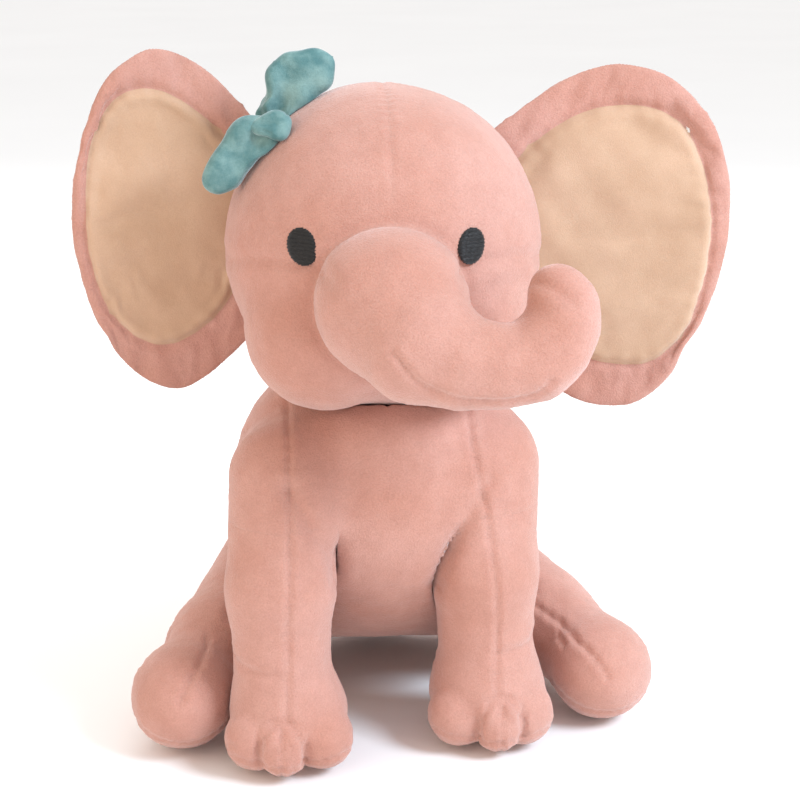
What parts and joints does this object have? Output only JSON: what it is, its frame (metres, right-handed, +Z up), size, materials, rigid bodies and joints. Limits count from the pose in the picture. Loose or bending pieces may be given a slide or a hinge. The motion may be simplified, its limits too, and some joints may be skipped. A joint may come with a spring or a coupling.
{
  "type": "stuffed elephant",
  "caption": "Seated stuffed elephant in pale pink plush, with big padded ears, a curled trunk, stitched eyes and a soft bow.",
  "frame": {"origin": "centre of the footprint's bounding box, on the surface that the toy sits on", "axes": "+Z up, -Y the way the toy faces, +X the toy's left"},
  "size_m": [0.2424, 0.2155, 0.251],
  "materials": {
    "plush": "short pile",
    "ear_lining": "smooth velvet",
    "bow_velvet": "velvet",
    "eye_thread": "satin stitch",
    "fibre_fill": "loose fibre",
    "pouch_cloth": "plain weave",
    "pellets": "matt granules"
  },
  "bodies": {
    "torso": {"body_panel_left": "plush", "body_panel_right": "plush", "chest_panel": "plush", "seat_panel": "plush", "body_stuffing": "fibre_fill", "pellet_pouch": "pouch_cloth", "pouch_pellets": "pellets"},
    "neck": {"neck_wadding": "fibre_fill"},
    "head": {"head_panel_left": "plush", "head_panel_right": "plush", "chin_panel": "plush", "head_stuffing": "fibre_fill", "eye_left": "eye_thread", "eye_right": "eye_thread", "bow_loop_upper": "bow_velvet", "bow_loop_lower": "bow_velvet", "bow_knot": "bow_velvet", "trunk_root_cover": "plush", "trunk_root_stuffing": "fibre_fill"},
    "trunk": {"trunk_cover": "plush", "trunk_stuffing": "fibre_fill"},
    "trunk_tip": {"trunk_tip_cover": "plush", "trunk_tip_stuffing": "fibre_fill"},
    "ear_left": {"ear_back_left": "plush", "ear_rim_left": "plush", "ear_lining_left": "ear_lining", "ear_wadding_left": "fibre_fill"},
    "ear_right": {"ear_back_right": "plush", "ear_rim_right": "plush", "ear_lining_right": "ear_lining", "ear_wadding_right": "fibre_fill"},
    "front_leg_left": {"front_leg_cover_left": "plush", "front_sole_left": "plush", "front_leg_stuffing_left": "fibre_fill"},
    "front_leg_right": {"front_leg_cover_right": "plush", "front_sole_right": "plush", "front_leg_stuffing_right": "fibre_fill"},
    "rear_leg_left": {"rear_leg_cover_left": "plush", "rear_sole_left": "plush", "rear_leg_stuffing_left": "fibre_fill"},
    "rear_leg_right": {"rear_leg_cover_right": "plush", "rear_sole_right": "plush", "rear_leg_stuffing_right": "fibre_fill"},
    "tail": {"tail_cover": "plush", "tail_stuffing": "fibre_fill"}
  },
  "joints": [
    {"name": "head_turn", "type": "hinge", "parent": "torso", "child": "neck", "pos_m": [0, -0.012, 0.12], "axis": [0, 0, 1], "range_deg": [-25, 25], "stiffness_Nm_per_rad": 1},
    {"name": "head_nod", "type": "hinge", "parent": "neck", "child": "head", "pos_m": [0, -0.012, 0.184], "axis": [1, 0, 0], "range_deg": [-12, 12], "stiffness_Nm_per_rad": 1},
    {"name": "ear_fold_left", "type": "hinge", "parent": "head", "child": "ear_left", "pos_m": [0.05, 0.008, 0.188], "axis": [0, 0, 1], "range_deg": [-15, 25], "stiffness_Nm_per_rad": 0.15},
    {"name": "ear_fold_right", "type": "hinge", "parent": "head", "child": "ear_right", "pos_m": [-0.05, 0.008, 0.188], "axis": [0, 0, -1], "range_deg": [-15, 25], "stiffness_Nm_per_rad": 0.15},
    {"name": "trunk_swing", "type": "hinge", "parent": "head", "child": "trunk", "pos_m": [0, -0.071, 0.167], "axis": [0, 0, 1], "range_deg": [-30, 5], "stiffness_Nm_per_rad": 0.3},
    {"name": "trunk_curl", "type": "hinge", "parent": "trunk", "child": "trunk_tip", "pos_m": [0.043, -0.093, 0.162], "axis": [-0.325, -0.762, 0.56], "range_deg": [-30, 20], "stiffness_Nm_per_rad": 0.15},
    {"name": "front_swing_left", "type": "hinge", "parent": "torso", "child": "front_leg_left", "pos_m": [0.0375, -0.029, 0.08], "axis": [-1, 0, 0], "range_deg": [0, 25], "stiffness_Nm_per_rad": 0.4},
    {"name": "front_swing_right", "type": "hinge", "parent": "torso", "child": "front_leg_right", "pos_m": [-0.0375, -0.044, 0.08], "axis": [-1, 0, 0], "range_deg": [0, 25], "stiffness_Nm_per_rad": 0.4},
    {"name": "rear_splay_left", "type": "hinge", "parent": "torso", "child": "rear_leg_left", "pos_m": [0.048, 0.065, 0.03], "axis": [0, 0, 1], "range_deg": [0, 25], "stiffness_Nm_per_rad": 0.4},
    {"name": "rear_splay_right", "type": "hinge", "parent": "torso", "child": "rear_leg_right", "pos_m": [-0.048, 0.044, 0.03], "axis": [0, 0, -1], "range_deg": [0, 25], "stiffness_Nm_per_rad": 0.4},
    {"name": "tail_wag", "type": "hinge", "parent": "torso", "child": "tail", "pos_m": [0, 0.0985, 0.044], "axis": [0, 1, 0], "range_deg": [-35, 35], "stiffness_Nm_per_rad": 0.03}
  ]
}
